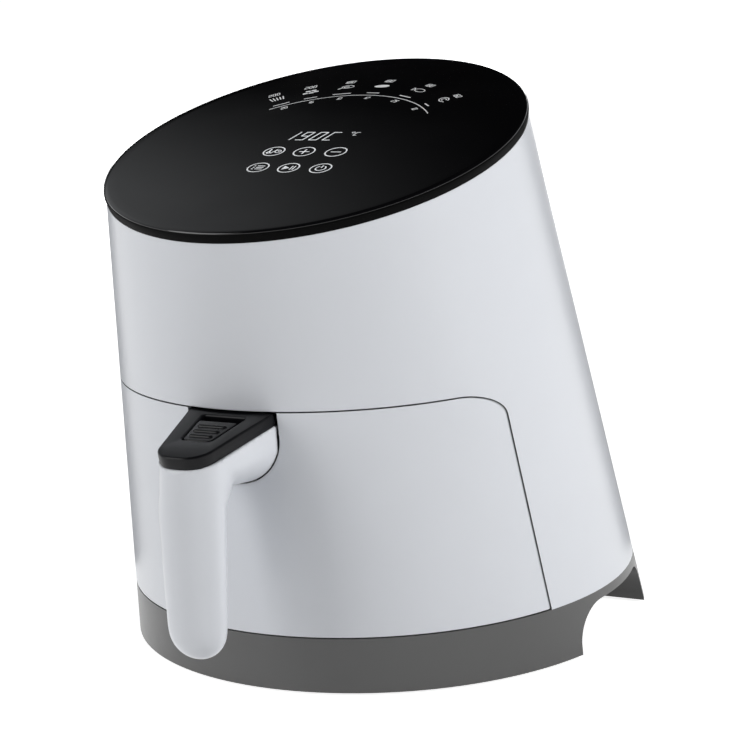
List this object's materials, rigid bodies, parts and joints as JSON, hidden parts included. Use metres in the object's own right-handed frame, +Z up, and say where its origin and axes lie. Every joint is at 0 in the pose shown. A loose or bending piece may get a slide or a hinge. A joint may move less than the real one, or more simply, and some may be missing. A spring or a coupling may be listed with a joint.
{
  "type": "air fryer",
  "caption": "Countertop hot-air fryer with a forward-leaning round body, slanted touch panel, skirted base and a front drawer holding a lift-out basket on a drop handle.",
  "frame": {"origin": "middle of the object's outline on the surface it stands on", "axes": "+Z up; the drawer faces -Y and pulls out that way; +X is on the right as seen from the front"},
  "size_m": [0.274, 0.346, 0.2989],
  "materials": {
    "white_plastic": "satin moulded white",
    "grey_plastic": "fine-grained moulded grey",
    "black_plastic": "satin moulded black",
    "dark_glass": "back-printed polished black",
    "foot_rubber": "matt",
    "nonstick_coat": "dark non-stick coating",
    "liner_steel": "plain rolled sheet",
    "heater_steel": "heat-tinted tube",
    "fan_metal": "pressed sheet",
    "fastener_steel": "zinc plated",
    "motor_case": "pressed case",
    "board_green": "solder mask",
    "component_dark": "moulded component case",
    "key_foam": "conductive foam",
    "magnet_metal": "sintered"
  },
  "bodies": {
    "housing": {"base_skirt": "grey_plastic", "bottom_plate": "black_plastic", "rubber_feet": "foot_rubber", "base_screws": "fastener_steel", "drawer_deck": "liner_steel", "outer_shell": "white_plastic", "rear_grille": "black_plastic", "cord_gland": "black_plastic", "gland_nut": "black_plastic", "chamber_liner": "liner_steel", "exhaust_duct": "black_plastic", "heating_element": "heater_steel", "heater_hangers": "liner_steel", "heater_guard": "heater_steel", "motor_bracket": "liner_steel", "fan_motor": "motor_case", "thermal_cutout": "motor_case", "power_board": "board_green", "power_relays": "component_dark", "heat_sink": "fan_metal", "top_lid": "black_plastic", "touch_glass": "dark_glass", "control_board": "board_green", "display_module": "component_dark", "touch_pads": "key_foam", "drawer_sensor": "component_dark"},
    "drawer": {"drawer_front": "white_plastic", "frying_pan": "nonstick_coat", "pan_bracket": "liner_steel", "drawer_magnet": "magnet_metal", "fry_basket": "nonstick_coat", "basket_bumpers": "foot_rubber", "basket_bracket": "liner_steel", "handle_screws": "fastener_steel", "handle_grip": "white_plastic", "handle_cover": "black_plastic", "release_spring": "liner_steel"},
    "release": {"release_slider": "black_plastic", "latch_hook": "liner_steel"},
    "fan": {"circulation_fan": "fan_metal", "cooling_fan": "component_dark", "motor_shaft": "liner_steel", "fan_nut": "fastener_steel"}
  },
  "joints": [
    {"name": "drawer_slide", "type": "slide", "parent": "housing", "child": "drawer", "axis": [0, -1, 0], "range_m": [0, 0.235]},
    {"name": "release_slide", "type": "slide", "parent": "drawer", "child": "release", "axis": [0, 0.977, 0.213], "range_m": [0, 0.0055], "stiffness_N_per_m": 400, "springref_m": -0.002, "deforming": ["release_spring"]},
    {"name": "fan_spin", "type": "hinge", "parent": "housing", "child": "fan", "pos_m": [0, 0.0047, 0.2], "axis": [0, 0, 1], "continuous": true}
  ]
}
